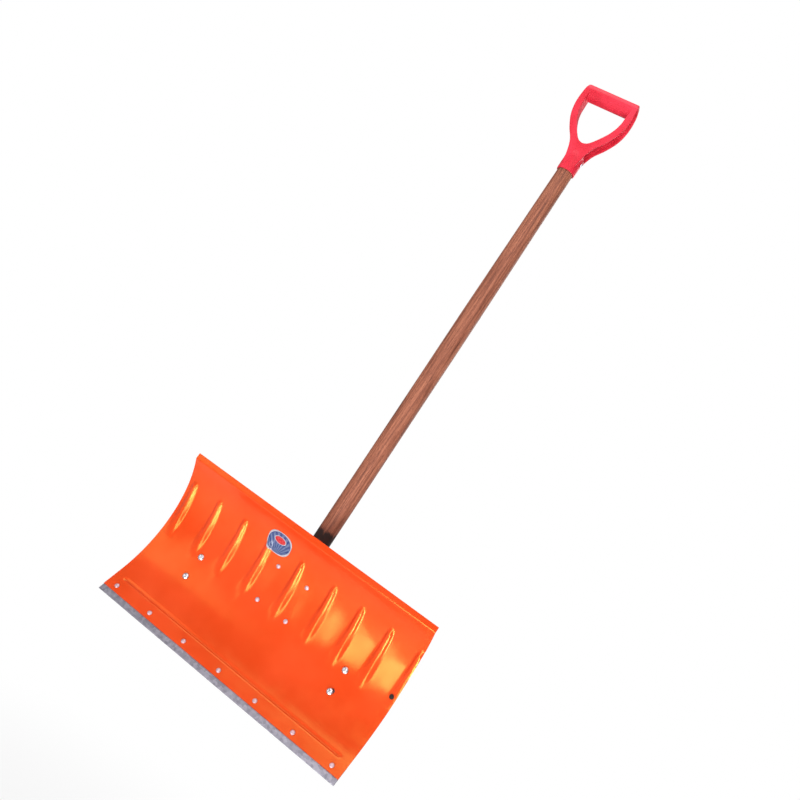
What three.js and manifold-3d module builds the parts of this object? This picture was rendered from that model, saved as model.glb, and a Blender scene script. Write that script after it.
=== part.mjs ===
// Steel snow shovel: a pressed, ribbed blade with a riveted wear strip, a wooden handle clamped to its back and
// steadied by two rod braces, and a moulded D-grip. Millimetres, +Z up along the handle, concave face towards -Y.
// The origin is the underside of the grip bar, on the handle's axis, where the shovel hangs on a hook.
//
// The blade is laid out in its own terms: x across, s along the sheet from its lower edge, n out of its front face.
// A cut through it is drawn in (u, v): u up along the handle, v forward, both zero at the sheet's lower front edge.
import * as THREE from "three";
import { mergeVertices } from "three/addons/utils/BufferGeometryUtils.js";
import Module from "manifold-3d";

const wasm = await Module();
wasm.setup();

const DEG = Math.PI / 180;
const SIDES = [-1, 1]; // left and right
const GAP = 0.3; // between pieces that touch
const CURVED_GAP = 0.5; // between curved pieces that touch

// Blade sheet
const BLADE_WIDTH = 600;
const SHEET = 1.5;
const TOE_FLAT = 45;
const ARC_RADIUS = 205;
const ARC_SWEEP = 81 * DEG;
const LIP_BEND = 47.5 * DEG;
const LIP_BEND_RADIUS = 5;
const LIP_WIDTH = 10;

// Pressed ribs, raised on the front face
const RIB_PATTERN_CENTRE = 6;
const RIB_OFFSETS = [-289, -219.5, -150.5, -82, 0, 82, 150.5, 219.5, 289];
const RIB_HEIGHT = 5.6;
const RIB_TOP = 288;
const RIB_CREST = 268;
const RIB_FADE = 150;
const RIB_HALF_WIDTH_TOP = 6;
const RIB_HALF_WIDTH_LOW = 13;
const RIB_COLUMNS = [-14, -7, 0, 7, 14]; // grid lines across each rib

// Pressed groove above the edge rivets
const GROOVE_LINE = 34;
const GROOVE_DEPTH = 1.6;
const GROOVE_HALF_WIDTH = 5;
const GROOVE_HALF_LENGTH = 281;
const GROOVE_END = 8;

// Wear strip
const STRIP_THICKNESS = 2.5;
const STRIP_BELOW_EDGE = 13;
const STRIP_ABOVE_EDGE = 26;

// Fastener places on the sheet
const EDGE_RIVET_COUNT = 7;
const EDGE_RIVET_PITCH = 92;
const EDGE_RIVET_LINE = 12;
const CLAMP_RIVET_OFFSET = 37;
const CLAMP_RIVET_LINES = [242, 163.5];
const BRACE_BOLT_OFFSET = 189;
const BRACE_BOLT_LINES = [160.5, 113];
const SIDE_HOLE = { x: 290, s: 175, radius: 4.2 };

// Fastener sizes
const RIVET = { head: 4.8, rise: 2.3, shank: 2.4, tail: 4.2, tailRise: 1.8 };
const BOLT = { head: 6.8, rise: 3.6, shank: 3, pastNut: 2.5 };
const WASHER = { outer: 7, bore: 3.4, thick: 1.4 };
const NUT = { acrossFlats: 10, bore: 3.3, thick: 5 };
const CROSS_BOLT = { acrossFlats: 13, headThick: 5.3, shank: 4, pastNut: 4 };
const CROSS_WASHER = { outer: 9, bore: 4.4, thick: 1.6 };
const CROSS_NUT = { acrossFlats: 13, bore: 4.3, thick: 6.5 };
const PLUG = { head: 5, rise: 1, neck: 3.8, barb: 4.4, depth: 7 };
const SCREW = { head: 4.2, rise: 2.4, shank: 2, depth: 18 };
const HOLE_CLEARANCE = 0.4;

// Handle
const HANDLE_RADIUS = 19.75;
const HANDLE_TOP_RADIUS = 17.5;
const HANDLE_FOOT = 78;
const HANDLE_TAPER_START = 860;
const HANDLE_TOP = 1255;

// Clamp plate that wraps the handle from behind
const CLAMP_SHEET = 2;
const CLAMP_HALF_WIDTH = 52;
const CLAMP_LOW = 125;
const CLAMP_HIGH = 232;
const FLANGE_LOW = 146.5; // s of the flanges' ends
const FLANGE_HIGH = 256;
const CLAMP_SCREW_HEIGHTS = [150, 208];

// Braces
const FOOT_PLATE = { halfWidth: 13, low: 99, high: 176, thick: 3 };
const BRACE_ROD_RADIUS = 5.5;
const ROD_FOOT = { inset: 6, s: 137, rise: 3.2 }; // where a rod meets its foot plate
const ROD_IN_TAB = { across: 4, up: 9 };
const BRACE_TAB = { low: 236, high: 284, halfDepth: 11, thick: 4 };
const CROSS_BOLT_HEIGHT = 268;

// D-grip
const BAR_RADIUS = 16.7;
const ARM_HALF_DEPTH = 17.3;
const BAR_HEIGHT = 1395.6;
const BAR_HALF_LENGTH = 57;
const COLLAR_RADIUS = 20.4;
const COLLAR_LOW = 1216;
const COLLAR_HIGH = 1250;
const COLLAR_BORE = 17.8;
const COLLAR_SHOULDER = 1278;
const GRIP_FLANGE = 3.8;
const GRIP_SCREW_HEIGHT = 1245;

// Label
const LABEL = { left: -90, right: -24, low: 257, high: 315, thick: 0.4 };

const ROUND = 12; // sides of small turned pieces
const HANDLE_SIDES = 24;
const BAR_SIDES = 22;

const PAINT = { color: 0xf9541c, roughness: 0.28, metalness: 0.1 };
const GALVANISED = { color: 0x9a9ea4, roughness: 0.45, metalness: 0.9 };
const ZINC = { color: 0xc9ccd2, roughness: 0.3, metalness: 0.95 };
const BLACK_STEEL = { color: 0x26272a, roughness: 0.55, metalness: 0.4 };
const BLACK_PLASTIC = { color: 0x141414, roughness: 0.5, metalness: 0 };
const WOOD = { color: 0xa9684d, roughness: 0.7, metalness: 0 };
const RED_PLASTIC = { color: 0xf2313f, roughness: 0.45, metalness: 0 };
const LABEL_PRINT = { color: 0x3e5d9e, roughness: 0.4, metalness: 0 };

// ---------- the blade's own geometry ----------

const ARC_START = -ARC_SWEEP / 2;
const ARC_END_S = TOE_FLAT + ARC_RADIUS * ARC_SWEEP;
const LIP_START_S = ARC_END_S + LIP_BEND_RADIUS * LIP_BEND;
const SHEET_END_S = LIP_START_S + LIP_WIDTH;

// Point and slope of the sheet's front face at s, in (u, v).
function profile(s) {
  if (s <= TOE_FLAT) return step([0, 0], ARC_START, s);
  const toe = step([0, 0], ARC_START, TOE_FLAT);
  const arc = turn(toe, 1 / ARC_RADIUS, Math.min(s, ARC_END_S) - TOE_FLAT);
  if (s <= ARC_END_S) return arc;
  const bend = turn(arc, -1 / LIP_BEND_RADIUS, Math.min(s, LIP_START_S) - ARC_END_S);
  return s <= LIP_START_S ? bend : step([bend.u, bend.v], bend.angle, s - LIP_START_S);
}

// A straight run of the profile.
function step([u, v], angle, run) {
  return { u: u + run * Math.cos(angle), v: v + run * Math.sin(angle), angle };
}

// A round run of the profile: curvature is positive where it turns forward.
function turn(from, curvature, run) {
  const angle = from.angle + run * curvature;
  return {
    u: from.u + (Math.sin(angle) - Math.sin(from.angle)) / curvature,
    v: from.v - (Math.cos(angle) - Math.cos(from.angle)) / curvature,
    angle,
  };
}

const DEEPEST = profile(TOE_FLAT + (ARC_RADIUS * ARC_SWEEP) / 2);
const HANDLE_V = DEEPEST.v - SHEET - CURVED_GAP - HANDLE_RADIUS;
const HOOK_U = BAR_HEIGHT - BAR_RADIUS;

// A point of a cut through the shovel, in the part's frame.
function place(x, u, v) {
  return new THREE.Vector3(x, HANDLE_V - v, u - HOOK_U);
}

// A point at x, s and height n over the plain front face, in the part's frame.
function onSheet(x, s, n) {
  const { u, v, angle } = profile(s);
  return place(x, u - n * Math.sin(angle), v + n * Math.cos(angle));
}

// The frame of a fastener at x, s: its +Z leaves the front face.
function sheetFrame(x, s) {
  const { angle } = profile(s);
  const across = new THREE.Vector3(1, 0, 0);
  const along = new THREE.Vector3(0, -Math.sin(angle), Math.cos(angle));
  const out = new THREE.Vector3().crossVectors(across, along);
  return new THREE.Matrix4().makeBasis(across, along, out).setPosition(onSheet(x, s, 0));
}

const smooth = (t) => {
  const c = Math.min(1, Math.max(0, t));
  return c * c * (3 - 2 * c);
};

// Height of the ribs over the plain sheet: a nose at the top, widening and fading downwards.
function ribHeight(x, s) {
  const rise = Math.min(1, Math.max(0, (s - RIB_FADE) / (RIB_CREST - RIB_FADE)));
  const fall = rise * (2 - rise);
  const nose = smooth((RIB_TOP - s) / (RIB_TOP - RIB_CREST));
  const low = (RIB_TOP - s) / (RIB_TOP - RIB_FADE);
  const half = RIB_HALF_WIDTH_TOP + (RIB_HALF_WIDTH_LOW - RIB_HALF_WIDTH_TOP) * Math.min(1, Math.max(0, low));
  const nearest = Math.min(...RIB_OFFSETS.map((at) => Math.abs(x - RIB_PATTERN_CENTRE - at)));
  return RIB_HEIGHT * fall * nose * smooth(1.25 - nearest / half);
}

// Depth of the groove under the plain sheet.
function grooveDepth(x, s) {
  const across = smooth(1 - Math.abs(s - GROOVE_LINE) / GROOVE_HALF_WIDTH);
  return GROOVE_DEPTH * across * smooth((GROOVE_HALF_LENGTH - Math.abs(x)) / GROOVE_END);
}

// ---------- solids ----------

// A closed geometry as a manifold-3d solid.
function solid(geometry) {
  const bare = geometry.clone();
  for (const name of Object.keys(bare.attributes)) if (name !== "position") bare.deleteAttribute(name);
  const merged = mergeVertices(bare, 1e-3);
  return new wasm.Manifold(
    new wasm.Mesh({
      numProp: 3,
      vertProperties: new Float32Array(merged.attributes.position.array),
      triVerts: new Uint32Array(merged.index.array),
    }),
  );
}

// A manifold-3d solid as a geometry.
function geometryOf(shape) {
  const mesh = shape.getMesh();
  return new THREE.BufferGeometry()
    .setAttribute("position", new THREE.BufferAttribute(mesh.vertProperties, 3))
    .setIndex(new THREE.BufferAttribute(mesh.triVerts, 1));
}

// A turned shape about +Z from [radius, height] pairs, listed from the low end up.
function turned(outline, sides = ROUND) {
  const points = outline.map(([r, h]) => new THREE.Vector2(r, h));
  return new THREE.LatheGeometry(points, sides).rotateX(Math.PI / 2);
}

// A round rod about +Z from low to high.
function rod(radius, low, high, sides = ROUND) {
  return new THREE.CylinderGeometry(radius, radius, high - low, sides)
    .rotateX(Math.PI / 2)
    .translate(0, 0, (low + high) / 2);
}

// A box with its grid lines at the given places, bent by a rule that gives each vertex its new place.
function bentPlate(columns, rows, low, high, rule) {
  const geometry = new THREE.BoxGeometry(1, 1, 1, columns.length - 1, rows.length - 1, 1);
  const position = geometry.getAttribute("position");
  for (let i = 0; i < position.count; i++) {
    const x = columns[Math.round((position.getX(i) + 0.5) * (columns.length - 1))];
    const s = rows[Math.round((position.getY(i) + 0.5) * (rows.length - 1))];
    const point = rule(x, s, position.getZ(i) > 0 ? high : low);
    position.setXYZ(i, point.x, point.y, point.z);
  }
  return geometry;
}

// Evenly spaced values from first to last.
const spread = (first, last, count) =>
  Array.from({ length: count + 1 }, (_, i) => first + ((last - first) * i) / count);

// A flat outline of (x, u) points, as thick as twice halfDepth and centred on the handle.
function centredSlab(shape, halfDepth) {
  return new THREE.ExtrudeGeometry(shape, { depth: 2 * halfDepth, bevelEnabled: false, curveSegments: 3 })
    .translate(0, 0, HANDLE_V - halfDepth)
    .applyMatrix4(CUT_TO_PART);
}

// Turns (x, u, v) into the part's frame.
const CUT_TO_PART = new THREE.Matrix4().set(1, 0, 0, 0, 0, 0, -1, HANDLE_V, 0, 1, 0, -HOOK_U, 0, 0, 0, 1);

// Cutters for the holes of fasteners that stand square on the sheet.
function sheetHoles(places, radius, low, high) {
  return places.map(([x, s]) => solid(rod(radius, low, high).applyMatrix4(sheetFrame(x, s))));
}

// Takes each cutter out of a shape.
const cutAll = (shape, cutters) => cutters.reduce((left, cutter) => left.subtract(cutter), shape);

// ---------- scene graph ----------

const shovel = new THREE.Group();

function addPiece(name, geometry, finish, parent = shovel) {
  const mesh = new THREE.Mesh(geometry, new THREE.MeshStandardMaterial(finish));
  mesh.name = name;
  parent.add(mesh);
  return mesh;
}

// Places a group so that its pieces are laid out in a fastener's frame.
function fastenerGroup(matrix) {
  const group = new THREE.Group();
  group.applyMatrix4(matrix);
  shovel.add(group);
  return group;
}

const edgeRivetPlaces = spread(-3, 3, EDGE_RIVET_COUNT - 1).map((i) => [i * EDGE_RIVET_PITCH, EDGE_RIVET_LINE]);
const clampRivetPlaces = CLAMP_RIVET_LINES.flatMap((s) => SIDES.map((side) => [side * CLAMP_RIVET_OFFSET, s]));
const braceBoltPlaces = SIDES.flatMap((side) => BRACE_BOLT_LINES.map((s) => [side * BRACE_BOLT_OFFSET, s]));

// ---------- blade sheet ----------

// Grid lines of the pressed sheet, where its ribs, groove and bends turn and where the label starts.
const ribLines = RIB_OFFSETS.flatMap((at) => RIB_COLUMNS.map((d) => RIB_PATTERN_CENTRE + at + d));
const sheetEnds = SIDES.flatMap((side) => [side * GROOVE_HALF_LENGTH, (side * BLADE_WIDTH) / 2]);
const sheetColumns = [...new Set([...ribLines.filter((x) => Math.abs(x) < BLADE_WIDTH / 2 - 1), ...sheetEnds])];
const sheetRows = [
  0,
  ...SIDES.map((side) => GROOVE_LINE + side * GROOVE_HALF_WIDTH),
  GROOVE_LINE,
  ...spread(TOE_FLAT, RIB_FADE, 5),
  ...spread(RIB_FADE, LABEL.low, 5).slice(1),
  RIB_CREST,
  ...spread(RIB_CREST, RIB_TOP, 3).slice(1),
  ...spread(RIB_TOP, ARC_END_S, 3).slice(1),
  (ARC_END_S + LIP_START_S) / 2,
  LIP_START_S,
  SHEET_END_S,
];
const ascending = (values) => [...values].sort((a, b) => a - b);

// A point at height n over the pressed front face.
function onPressedSheet(x, s, n) {
  return onSheet(x, s, n + ribHeight(x, s) - grooveDepth(x, s));
}

// The whole pressed sheet without its holes, with its front face raised by the given height.
function pressedSheet(front) {
  return solid(bentPlate(ascending(sheetColumns), ascending(sheetRows), -SHEET, front, onPressedSheet));
}

function makeBladeSheet() {
  const sheet = pressedSheet(0);
  return cutAll(sheet, [
    ...sheetHoles(edgeRivetPlaces, RIVET.shank + HOLE_CLEARANCE, -8, 8),
    ...sheetHoles(clampRivetPlaces, RIVET.shank + HOLE_CLEARANCE, -8, 8),
    ...sheetHoles(braceBoltPlaces, BOLT.shank + HOLE_CLEARANCE, -8, 8),
    ...sheetHoles([[SIDE_HOLE.x, SIDE_HOLE.s]], SIDE_HOLE.radius, -12, 12),
  ]);
}
addPiece("blade_sheet", geometryOf(makeBladeSheet()), PAINT);

// A push-in plug that closes the hole near the right edge, with a barb behind the sheet.
function makeHolePlug() {
  const { head, rise, neck, barb, depth } = PLUG;
  return turned([
    [0, -depth],
    [neck * 0.7, -depth],
    [barb, -SHEET - 2],
    [neck, -SHEET - 1],
    [neck, CURVED_GAP],
    [head, CURVED_GAP],
    [head * 0.8, CURVED_GAP + rise],
    [0, CURVED_GAP + rise],
  ]);
}

// Its head rests on the flank of the last rib, on the highest part of the sheet under it.
const plugGroup = fastenerGroup(sheetFrame(SIDE_HOLE.x, SIDE_HOLE.s));
const plugSeat = ribHeight(SIDE_HOLE.x + PLUG.head, SIDE_HOLE.s + PLUG.head);
addPiece("hole_plug", makeHolePlug(), BLACK_PLASTIC, plugGroup).position.z = plugSeat;

// ---------- wear strip and its rivets ----------

const STRIP_FRONT = -SHEET - GAP;

function makeWearStrip() {
  const strip = bentPlate(
    [-BLADE_WIDTH / 2, BLADE_WIDTH / 2],
    [-STRIP_BELOW_EDGE, STRIP_ABOVE_EDGE],
    STRIP_FRONT - STRIP_THICKNESS,
    STRIP_FRONT,
    onSheet,
  );
  return cutAll(solid(strip), sheetHoles(edgeRivetPlaces, RIVET.shank + HOLE_CLEARANCE, -10, 4));
}
addPiece("wear_strip", geometryOf(makeWearStrip()), GALVANISED);

// A domed rivet with its upset tail, whose head sits on the front face and whose tail closes at `back`.
function makeRivet(back) {
  const { head, rise, shank, tail, tailRise } = RIVET;
  return turned([
    [0, back - tailRise],
    [tail * 0.75, back - tailRise],
    [tail, back],
    [shank, back],
    [shank, CURVED_GAP],
    [head, CURVED_GAP],
    [head * 0.85, CURVED_GAP + rise * 0.6],
    [head * 0.4, CURVED_GAP + rise],
    [0, CURVED_GAP + rise],
  ]);
}

edgeRivetPlaces.forEach(([x, s], i) => {
  const back = STRIP_FRONT - STRIP_THICKNESS - GAP;
  addPiece(`edge_rivet_${i + 1}`, makeRivet(back), ZINC, fastenerGroup(sheetFrame(x, s)));
});

// ---------- handle clamp: two flanges on the sheet's back, joined by a channel round the handle ----------

const CLAMP_FRONT = -SHEET - CURVED_GAP;
const CHANNEL_INNER = HANDLE_RADIUS + GAP;
const CHANNEL_OUTER = CHANNEL_INNER + CLAMP_SHEET;

// A U outline in (x, v), open side forward.
function channelOutline(radius, forward) {
  const outline = new THREE.Shape();
  outline.moveTo(radius, forward);
  outline.lineTo(-radius, forward);
  outline.lineTo(-radius, HANDLE_V);
  outline.absarc(0, HANDLE_V, radius, Math.PI, 2 * Math.PI, false);
  outline.closePath();
  return outline;
}

// A prism of an outline in (x, v) from low to high along the handle.
function prismAlongHandle(outline, low, high) {
  return new THREE.ExtrudeGeometry(outline, { depth: high - low, bevelEnabled: false, curveSegments: 8 })
    .rotateX(Math.PI)
    .translate(0, HANDLE_V, high - HOOK_U);
}

function makeHandleClamp() {
  const flanges = solid(
    bentPlate(
      [-CLAMP_HALF_WIDTH, CLAMP_HALF_WIDTH],
      spread(FLANGE_LOW, FLANGE_HIGH, 6),
      CLAMP_FRONT - CLAMP_SHEET,
      CLAMP_FRONT,
      onSheet,
    ),
  );
  const forward = DEEPEST.v + 20;
  const outer = solid(prismAlongHandle(channelOutline(CHANNEL_OUTER, forward), CLAMP_LOW, CLAMP_HIGH));
  const innerOutline = channelOutline(CHANNEL_INNER, forward + 5);
  const inner = solid(prismAlongHandle(innerOutline, CLAMP_LOW - 30, CLAMP_HIGH + 40));
  const sheetAndFront = solid(bentPlate([-70, 70], spread(100, 300, 14), CLAMP_FRONT, 60, onSheet));
  const holeRadius = SCREW.shank + HOLE_CLEARANCE;
  const screwHoles = CLAMP_SCREW_HEIGHTS.map((u) => solid(clampScrewRod(u, holeRadius, 0, 40)));
  return cutAll(outer.subtract(sheetAndFront).add(flanges), [
    inner,
    ...screwHoles,
    ...sheetHoles(clampRivetPlaces, RIVET.shank + HOLE_CLEARANCE, -10, 4),
  ]);
}

// A rod square to the handle, from its axis out of its back.
function clampScrewRod(u, radius, low, high) {
  return rod(radius, low, high)
    .rotateX(-Math.PI / 2)
    .translate(0, 0, u - HOOK_U);
}

addPiece("handle_clamp", geometryOf(makeHandleClamp()), BLACK_STEEL);
clampRivetPlaces.forEach(([x, s], i) => {
  const back = CLAMP_FRONT - CLAMP_SHEET - GAP;
  addPiece(`clamp_rivet_${i + 1}`, makeRivet(back), ZINC, fastenerGroup(sheetFrame(x, s)));
});

// A pan-head wood screw about +Z: its head sits at z = 0 and its point goes down.
function makeWoodScrew() {
  const { head, rise, shank, depth } = SCREW;
  return turned([
    [0, -depth],
    [shank, -depth + 4],
    [shank, 0],
    [head, 0],
    [head * 0.9, rise * 0.6],
    [head * 0.5, rise],
    [0, rise],
  ]);
}

CLAMP_SCREW_HEIGHTS.forEach((u, i) => {
  const screw = addPiece(`clamp_screw_${i + 1}`, makeWoodScrew(), ZINC);
  screw.rotation.x = -Math.PI / 2;
  screw.position.set(0, CHANNEL_OUTER + GAP, u - HOOK_U);
});

// ---------- braces: a foot plate on the sheet, a rod, and a tab on the handle's side ----------

const PLATE_FRONT = -SHEET - CURVED_GAP;
const TAB_INNER = HANDLE_RADIUS + GAP;

// A round bar between two points of the part's frame.
function barBetween(from, to, radius) {
  const along = new THREE.Vector3().subVectors(to, from);
  const up = new THREE.Vector3(0, 0, 1);
  const turnTo = new THREE.Quaternion().setFromUnitVectors(up, along.clone().normalize());
  return rod(radius, 0, along.length()).applyQuaternion(turnTo).translate(from.x, from.y, from.z);
}

function makeBrace(side) {
  const { halfWidth, low, high, thick } = FOOT_PLATE;
  const centre = side * BRACE_BOLT_OFFSET;
  const across = [centre - halfWidth, centre + halfWidth];
  const back = PLATE_FRONT - thick;
  const foot = solid(bentPlate(across, spread(low, high, 5), back, PLATE_FRONT, onSheet));
  const start = onSheet(centre - side * ROD_FOOT.inset, ROD_FOOT.s, back - ROD_FOOT.rise);
  const end = place(side * (TAB_INNER + ROD_IN_TAB.across), BRACE_TAB.low + ROD_IN_TAB.up, HANDLE_V);
  const bar = solid(barBetween(start, end, BRACE_ROD_RADIUS));
  const tabHeight = BRACE_TAB.high - BRACE_TAB.low;
  const tab = solid(
    new THREE.BoxGeometry(BRACE_TAB.thick, 2 * BRACE_TAB.halfDepth, tabHeight).translate(
      side * (TAB_INNER + BRACE_TAB.thick / 2),
      0,
      BRACE_TAB.low + tabHeight / 2 - HOOK_U,
    ),
  );
  const handleSpace = new THREE.BoxGeometry(2 * TAB_INNER, 120, 400).translate(0, 0, BRACE_TAB.low - HOOK_U);
  return cutAll(foot.add(bar).add(tab), [
    solid(handleSpace),
    solid(crossRod(CROSS_BOLT.shank + HOLE_CLEARANCE, -60, 60)),
    ...sheetHoles(braceBoltPlaces, BOLT.shank + HOLE_CLEARANCE, -14, 2),
    ...sheetHoles(braceBoltPlaces, WASHER.outer + 1, -24, back),
  ]);
}

// A rod along X through the handle at the height of the cross bolt.
function crossRod(radius, low, high, sides = ROUND) {
  return rod(radius, low, high, sides)
    .rotateY(Math.PI / 2)
    .translate(0, 0, CROSS_BOLT_HEIGHT - HOOK_U);
}

addPiece("left_brace", geometryOf(makeBrace(-1)), BLACK_STEEL);
addPiece("right_brace", geometryOf(makeBrace(1)), BLACK_STEEL);

// A hexagon nut with its bore, from z = 0 up.
function makeNut({ acrossFlats, bore, thick }) {
  const outline = new THREE.Shape();
  const corner = acrossFlats / Math.sqrt(3);
  spread(0, 5, 5).forEach((i) => {
    const at = [corner * Math.cos(i * 60 * DEG), corner * Math.sin(i * 60 * DEG)];
    if (i === 0) outline.moveTo(...at);
    else outline.lineTo(...at);
  });
  outline.closePath();
  const hole = new THREE.Path();
  hole.absarc(0, 0, bore, 0, 2 * Math.PI, true);
  outline.holes.push(hole);
  return new THREE.ExtrudeGeometry(outline, { depth: thick, bevelEnabled: false, curveSegments: 7 });
}

// A flat washer from z = 0 up.
function makeWasher({ outer, bore, thick }) {
  return turned([
    [bore, 0],
    [outer, 0],
    [outer, thick],
    [bore, thick],
    [bore, 0],
  ]);
}

// A domed bolt whose head sits on the front face and whose thread ends at `back`.
function makeDomedBolt(back) {
  const { head, rise, shank } = BOLT;
  return turned([
    [0, back],
    [shank - 0.6, back],
    [shank, back + 1],
    [shank, CURVED_GAP],
    [head, CURVED_GAP],
    [head * 0.93, CURVED_GAP + rise * 0.45],
    [head * 0.7, CURVED_GAP + rise * 0.8],
    [head * 0.35, CURVED_GAP + rise],
    [0, CURVED_GAP + rise],
  ]);
}

braceBoltPlaces.forEach(([x, s], i) => {
  const washerTop = PLATE_FRONT - FOOT_PLATE.thick - GAP;
  const nutTop = washerTop - WASHER.thick - GAP;
  const group = fastenerGroup(sheetFrame(x, s));
  addPiece(`brace_bolt_${i + 1}`, makeDomedBolt(nutTop - NUT.thick - BOLT.pastNut), ZINC, group);
  addPiece(`brace_washer_${i + 1}`, makeWasher(WASHER), ZINC, group).position.z = washerTop - WASHER.thick;
  addPiece(`brace_nut_${i + 1}`, makeNut(NUT), ZINC, group).position.z = nutTop - NUT.thick;
});

// ---------- cross bolt through both brace tabs and the handle ----------

const TAB_OUTER = TAB_INNER + BRACE_TAB.thick;

function crossBoltGroup() {
  const group = new THREE.Group();
  group.rotation.y = Math.PI / 2;
  group.position.z = CROSS_BOLT_HEIGHT - HOOK_U;
  shovel.add(group);
  return group;
}

function makeCrossBolt() {
  const headSide = -(TAB_OUTER + GAP + CROSS_WASHER.thick + GAP);
  const nutSide = TAB_OUTER + GAP + CROSS_WASHER.thick + GAP + CROSS_NUT.thick;
  const head = makeNut({ ...CROSS_BOLT, bore: 1, thick: CROSS_BOLT.headThick });
  const shank = rod(CROSS_BOLT.shank, headSide - CROSS_BOLT.headThick, nutSide + CROSS_BOLT.pastNut);
  return geometryOf(solid(head.translate(0, 0, headSide - CROSS_BOLT.headThick)).add(solid(shank)));
}

const crossGroup = crossBoltGroup();
const nutSeat = TAB_OUTER + 2 * GAP + CROSS_WASHER.thick;
addPiece("cross_bolt", makeCrossBolt(), ZINC, crossGroup);
addPiece("cross_washer_left", makeWasher(CROSS_WASHER), ZINC, crossGroup).position.z = GAP - nutSeat;
addPiece("cross_washer_right", makeWasher(CROSS_WASHER), ZINC, crossGroup).position.z = TAB_OUTER + GAP;
addPiece("cross_nut", makeNut(CROSS_NUT), ZINC, crossGroup).position.z = nutSeat;

// ---------- wooden handle ----------

function makeHandle() {
  const chamfer = 4;
  const outline = [
    [0, HANDLE_FOOT],
    [HANDLE_RADIUS - chamfer, HANDLE_FOOT],
    [HANDLE_RADIUS, HANDLE_FOOT + chamfer],
    [HANDLE_RADIUS, HANDLE_TAPER_START],
    [HANDLE_TOP_RADIUS, COLLAR_LOW],
    [HANDLE_TOP_RADIUS, HANDLE_TOP],
    [0, HANDLE_TOP],
  ].map(([r, u]) => [r, u - HOOK_U]);
  const screwDepth = CHANNEL_OUTER + GAP - SCREW.depth - 1;
  return cutAll(solid(turned(outline, HANDLE_SIDES)), [
    solid(crossRod(CROSS_BOLT.shank + HOLE_CLEARANCE, -30, 30)),
    ...CLAMP_SCREW_HEIGHTS.map((u) => solid(clampScrewRod(u, SCREW.shank + HOLE_CLEARANCE, screwDepth, 30))),
    solid(gripScrewRod(SCREW.shank + HOLE_CLEARANCE, 0)),
  ]);
}

// A rod along +X into the collar's right side.
function gripScrewRod(radius, low) {
  return rod(radius, low, 40)
    .rotateY(Math.PI / 2)
    .translate(0, 0, GRIP_SCREW_HEIGHT - HOOK_U);
}
addPiece("wooden_handle", geometryOf(makeHandle()), WOOD);

// ---------- D-grip: two channelled arms, a round bar and a collar over the handle ----------

// Mirrors a half outline of (x, u) points into a closed shape, smooth through its points.
function mirroredShape(half) {
  const shape = new THREE.Shape();
  const right = half.map(([x, u]) => new THREE.Vector2(x, u));
  const left = [...right].reverse().map((p) => new THREE.Vector2(-p.x, p.y));
  shape.moveTo(right[0].x, right[0].y);
  shape.splineThru(right.slice(1));
  shape.lineTo(left[0].x, left[0].y);
  shape.splineThru(left.slice(1));
  shape.closePath();
  return shape;
}

const ARM_OUTER = [
  [15, 1230],
  [18, 1252],
  [27, 1279],
  [43, 1303],
  [56, 1329],
  [62, 1357],
  [61, 1388],
  [BAR_HALF_LENGTH, BAR_HEIGHT + ARM_HALF_DEPTH + 1],
];
const WINDOW = [
  [0.5, 1283],
  [12, 1288],
  [27, 1307],
  [40, 1329],
  [47.5, 1355],
  [48.5, BAR_HEIGHT],
];
// The web keeps this wall between the window and the outer channel, and the channel stays clear of the collar.
const WEB_OUTER = [
  [13, 1260],
  [16, 1275],
  [31, 1304],
  [44, 1326],
  [52, 1354],
  [53, 1402],
];

// The channel of one arm, open outwards.
function channelShape(side) {
  const shape = new THREE.Shape();
  const inner = WEB_OUTER.map(([x, u]) => new THREE.Vector2(side * x, u));
  shape.moveTo(inner[0].x, inner[0].y);
  shape.splineThru(inner.slice(1));
  shape.lineTo(side * 80, 1404);
  shape.lineTo(side * 80, 1290);
  shape.lineTo(side * 30, 1252);
  shape.closePath();
  return shape;
}

function makeGrip() {
  const arms = solid(centredSlab(mirroredShape(ARM_OUTER), ARM_HALF_DEPTH));
  const window = solid(centredSlab(mirroredShape(WINDOW), 2 * ARM_HALF_DEPTH));
  const channels = SIDES.map((side) => solid(centredSlab(channelShape(side), ARM_HALF_DEPTH - GRIP_FLANGE)));
  const bar = solid(
    rod(BAR_RADIUS, 4 - BAR_HALF_LENGTH, BAR_HALF_LENGTH - 4, BAR_SIDES)
      .rotateY(Math.PI / 2)
      .translate(0, 0, BAR_HEIGHT - HOOK_U),
  );
  const collarOutline = [
    [0, COLLAR_LOW],
    [COLLAR_RADIUS, COLLAR_LOW],
    [COLLAR_RADIUS, COLLAR_HIGH],
    [17, 1265],
    [9, COLLAR_SHOULDER],
    [0, COLLAR_SHOULDER + 2],
  ].map(([r, u]) => [r, u - HOOK_U]);
  const collar = solid(turned(collarOutline, BAR_SIDES));
  const bore = solid(rod(COLLAR_BORE, COLLAR_LOW - 10 - HOOK_U, HANDLE_TOP + GAP - HOOK_U, HANDLE_SIDES));
  return cutAll(arms, [window, ...channels])
    .intersect(solid(roundedTopPrism()))
    .add(bar)
    .add(collar)
    .subtract(bore)
    .subtract(solid(gripScrewRod(SCREW.shank + HOLE_CLEARANCE, 0)));
}

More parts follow.
